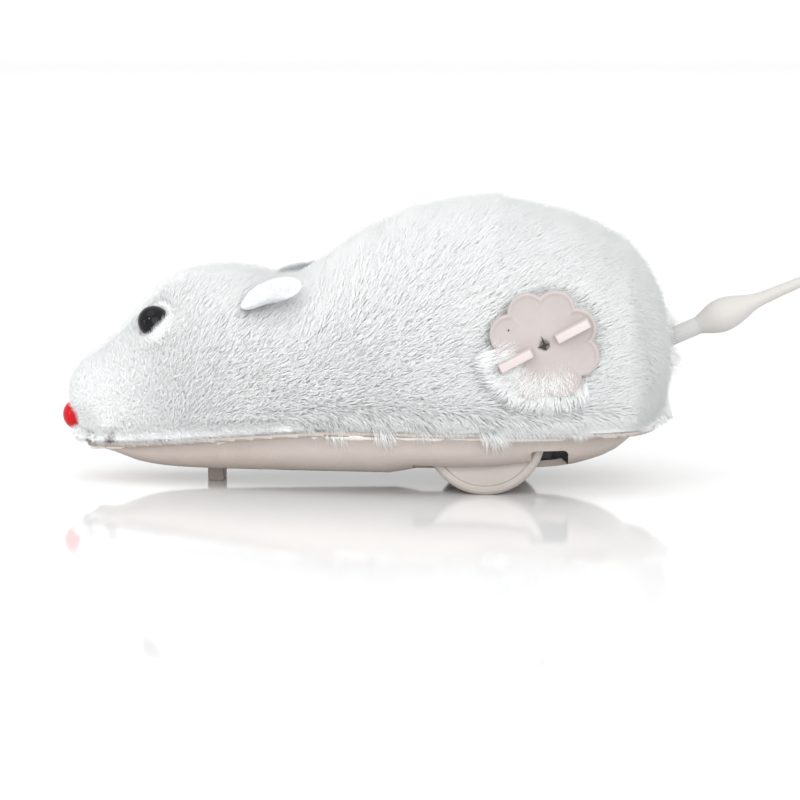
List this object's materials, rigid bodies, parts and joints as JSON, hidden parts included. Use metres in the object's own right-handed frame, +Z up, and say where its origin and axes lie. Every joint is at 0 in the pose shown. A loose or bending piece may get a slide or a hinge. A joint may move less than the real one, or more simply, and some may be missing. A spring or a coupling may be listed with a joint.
{
  "type": "clockwork mouse",
  "caption": "Wind-up toy mouse: furry body over a plastic shell, flower-shaped key, gear motor driving two wheels, front foot and a whip tail.",
  "frame": {"origin": "on the floor, under the middle of the wheel axle", "axes": "+Z up, +X toward the tail, -X toward the nose, -Y toward the side with the winding key; Y = 0 is the middle plane"},
  "size_m": [0.2368, 0.0646, 0.06],
  "materials": {
    "fur": "soft plush pile",
    "felt": "felt",
    "body_plastic": "satin",
    "wheel_plastic": "satin",
    "key_plastic": "satin",
    "tail_plastic": "soft satin",
    "root_plastic": "satin",
    "eye_bead": "gloss",
    "nose_bead": "gloss",
    "steel": "rolled",
    "spring_steel": "blued",
    "brass": "stamped"
  },
  "bodies": {
    "mouse_body": {"base_tub": "body_plastic", "front_foot": "body_plastic", "upper_shell": "body_plastic", "plush_skin": "fur", "ear_left": "felt", "ear_right": "felt", "eye_left": "eye_bead", "eye_right": "eye_bead", "nose": "nose_bead", "motor_plate_left": "steel", "motor_plate_right": "steel", "motor_pillars": "steel", "motor_feet": "body_plastic", "motor_screws": "steel", "base_screws": "steel", "mainspring": "spring_steel", "tail_post": "body_plastic", "tail_pin": "steel"},
    "first_gear": {"main_gear": "brass", "click_spring": "steel"},
    "key": {"winding_key": "key_plastic", "arbor": "steel", "ratchet_wheel": "brass"},
    "middle_gear": {"second_gear": "brass", "second_shaft": "steel"},
    "wheels": {"axle": "steel", "axle_pinion": "brass", "wheel_left": "wheel_plastic", "wheel_right": "wheel_plastic"},
    "tail_swing": {"tail_spigot": "root_plastic", "tail": "tail_plastic"}
  },
  "joints": [
    {"name": "running", "type": "hinge", "parent": "mouse_body", "child": "first_gear", "pos_m": [0.0121, 0, 0.0323], "axis": [0, 1, 0], "continuous": true},
    {"name": "winding", "type": "hinge", "parent": "first_gear", "child": "key", "pos_m": [0.0121, 0, 0.0323], "axis": [0, 1, 0], "continuous": true, "deforming": ["click_spring", "mainspring"]},
    {"name": "middle_gear_spin", "type": "hinge", "parent": "mouse_body", "child": "middle_gear", "pos_m": [-0.00245, 0, 0.02496], "axis": [0, 1, 0], "continuous": true},
    {"name": "wheel_spin", "type": "hinge", "parent": "mouse_body", "child": "wheels", "pos_m": [0, 0, 0.0125], "axis": [0, 1, 0], "continuous": true},
    {"name": "tail_wag", "type": "hinge", "parent": "mouse_body", "child": "tail_swing", "pos_m": [0.0276, 0, 0.02612], "axis": [0, 0, 1], "range_deg": [-8, 8], "stiffness_Nm_per_rad": 0.002}
  ],
  "couplings": [
    {"joint": "running", "follows": "wheel_spin", "ratio": 0.11429},
    {"joint": "middle_gear_spin", "follows": "wheel_spin", "ratio": -0.4}
  ]
}
